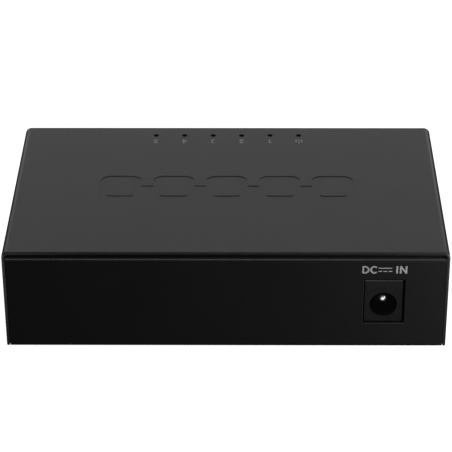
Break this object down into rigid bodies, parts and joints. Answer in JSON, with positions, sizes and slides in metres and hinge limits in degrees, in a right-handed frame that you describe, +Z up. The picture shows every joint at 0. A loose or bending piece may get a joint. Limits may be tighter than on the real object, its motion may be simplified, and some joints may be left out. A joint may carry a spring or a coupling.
{
  "type": "desktop network switch",
  "caption": "Low rectangular steel case with a row of network sockets on one long side, a round power socket on the other, and indicator holes on top.",
  "frame": {"origin": "on the resting surface, below the middle of the case", "axes": "+Z up, ports face -Y, power socket faces +Y, +X on the right of somebody who looks at the ports"},
  "size_m": [0.1, 0.0602, 0.0273],
  "materials": {
    "case_paint": "fine-textured black powder coat",
    "marking_ink": "light grey screen print on the case",
    "rubber": "matt black rubber",
    "label_stock": "silver-grey film label, plain",
    "zinc_steel": "zinc-plated",
    "black_steel": "black-oxide screw",
    "board_laminate": "green solder mask",
    "socket_plastic": "black moulded plastic",
    "shield_tin": "tin-plated",
    "contact_gold": "gold-plated phosphor bronze",
    "contact_nickel": "nickel-plated brass",
    "chip_package": "moulded epoxy",
    "chip_ceramic": "ceramic chip components",
    "pad_silicone": "grey silicone pad",
    "sink_aluminium": "satin",
    "led_lens": "clear epoxy"
  },
  "bodies": {
    "case": {"base_label": "label_stock", "base_tray": "case_paint", "board_screws": "zinc_steel", "board_spacers": "zinc_steel", "capacitor_1": "sink_aluminium", "capacitor_2": "sink_aluminium", "chip_passives": "chip_ceramic", "circuit_board": "board_laminate", "cover_screws": "black_steel", "foot_front_left": "rubber", "foot_front_right": "rubber", "foot_rear_left": "rubber", "foot_rear_right": "rubber", "heat_sink": "sink_aluminium", "inductor_1": "chip_package", "inductor_2": "chip_package", "led_port_1": "led_lens", "led_port_2": "led_lens", "led_port_3": "led_lens", "led_port_4": "led_lens", "led_port_5": "led_lens", "led_power": "led_lens", "light_baffle": "socket_plastic", "memory_chip": "chip_package", "port_1_transformer": "chip_package", "port_2_transformer": "chip_package", "port_3_transformer": "chip_package", "port_4_transformer": "chip_package", "port_5_transformer": "chip_package", "port_contact_legs": "contact_gold", "port_housing": "socket_plastic", "port_shield": "shield_tin", "power_socket_housing": "socket_plastic", "power_socket_pin": "contact_nickel", "power_socket_terminals": "shield_tin", "switch_chip": "chip_package", "thermal_pad": "pad_silicone", "timing_crystal": "sink_aluminium", "top_cover": "case_paint", "voltage_regulator": "chip_package"},
    "port_1_contact_set": {"port_1_contacts": "contact_gold"},
    "port_2_contact_set": {"port_2_contacts": "contact_gold"},
    "port_3_contact_set": {"port_3_contacts": "contact_gold"},
    "port_4_contact_set": {"port_4_contacts": "contact_gold"},
    "port_5_contact_set": {"port_5_contacts": "contact_gold"},
    "power_socket_leaf": {"power_socket_spring": "contact_nickel"}
  },
  "joints": [
    {"name": "port_1_contact_bend", "type": "hinge", "parent": "case", "child": "port_1_contact_set", "pos_m": [-0.02794, -0.02645, 0.00855], "axis": [-1, 0, 0], "range_deg": [0, 9], "stiffness_Nm_per_rad": 0.3},
    {"name": "port_2_contact_bend", "type": "hinge", "parent": "case", "child": "port_2_contact_set", "pos_m": [-0.01397, -0.02645, 0.00855], "axis": [-1, 0, 0], "range_deg": [0, 9], "stiffness_Nm_per_rad": 0.3},
    {"name": "port_3_contact_bend", "type": "hinge", "parent": "case", "child": "port_3_contact_set", "pos_m": [0, -0.02645, 0.00855], "axis": [-1, 0, 0], "range_deg": [0, 9], "stiffness_Nm_per_rad": 0.3},
    {"name": "port_4_contact_bend", "type": "hinge", "parent": "case", "child": "port_4_contact_set", "pos_m": [0.01397, -0.02645, 0.00855], "axis": [-1, 0, 0], "range_deg": [0, 9], "stiffness_Nm_per_rad": 0.3},
    {"name": "port_5_contact_bend", "type": "hinge", "parent": "case", "child": "port_5_contact_set", "pos_m": [0.02794, -0.02645, 0.00855], "axis": [-1, 0, 0], "range_deg": [0, 9], "stiffness_Nm_per_rad": 0.3},
    {"name": "power_socket_leaf_bend", "type": "hinge", "parent": "case", "child": "power_socket_leaf", "pos_m": [-0.0355, 0.0198, 0.0177], "axis": [1, 0, 0], "range_deg": [0, 10], "stiffness_Nm_per_rad": 0.36}
  ]
}
